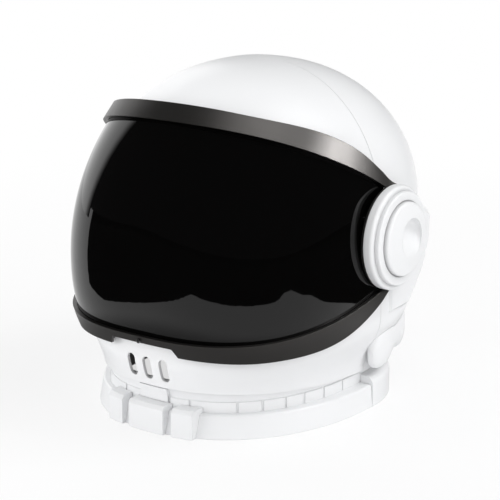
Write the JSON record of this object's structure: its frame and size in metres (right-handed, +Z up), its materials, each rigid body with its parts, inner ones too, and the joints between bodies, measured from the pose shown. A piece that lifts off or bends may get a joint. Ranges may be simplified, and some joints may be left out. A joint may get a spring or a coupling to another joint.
{
  "type": "astronaut helmet",
  "caption": "Full-head costume space helmet with a deep smoked visor that tilts up on stepped ear discs, standing on its neck collar.",
  "frame": {"origin": "under the middle of the bounding box, on the flat underside of the neck collar", "axes": "+Z up, the visor faces -Y, the ear discs lie on the X axis and +X is the wearer's left"},
  "size_m": [0.3136, 0.3446, 0.3],
  "materials": {
    "white_shell": "gloss moulded",
    "white_roll": "soft satin moulded",
    "white_collar": "gloss moulded",
    "black_frame": "satin moulded",
    "smoked_lens": "polished smoked sheet",
    "rivet_metal": "black satin",
    "white_knob": "gloss moulded",
    "white_cap": "gloss moulded",
    "bush_plastic": "natural moulded",
    "friction_rubber": "matt",
    "screw_steel": "zinc plated",
    "pad_fabric": "knitted cover over foam"
  },
  "bodies": {
    "helmet": {"front_shell": "white_shell", "rear_shell": "white_shell", "neck_roll": "white_roll", "front_collar": "white_collar", "rear_collar": "white_collar", "collar_block_left": "white_collar", "collar_block_centre": "white_collar", "collar_block_right": "white_collar", "knob_base_left": "white_knob", "knob_base_right": "white_knob", "knob_cap_left": "white_cap", "knob_cap_right": "white_cap", "friction_ring_left": "friction_rubber", "friction_ring_right": "friction_rubber", "pivot_screw_left": "screw_steel", "pivot_screw_right": "screw_steel", "screw_washer_left": "screw_steel", "screw_washer_right": "screw_steel", "seam_screws": "screw_steel", "collar_screws": "screw_steel", "crown_pad": "pad_fabric", "brow_pad": "pad_fabric", "nape_pad": "pad_fabric", "side_pad_left": "pad_fabric", "side_pad_right": "pad_fabric"},
    "visor": {"visor_frame": "black_frame", "visor_lens": "smoked_lens", "visor_rivets": "rivet_metal", "pivot_bush_left": "bush_plastic", "pivot_bush_right": "bush_plastic"}
  },
  "joints": [
    {"name": "visor_tilt", "type": "hinge", "parent": "helmet", "child": "visor", "pos_m": [0, 0.00409, 0.1565], "axis": [-1, 0, 0], "range_deg": [0, 65]}
  ]
}
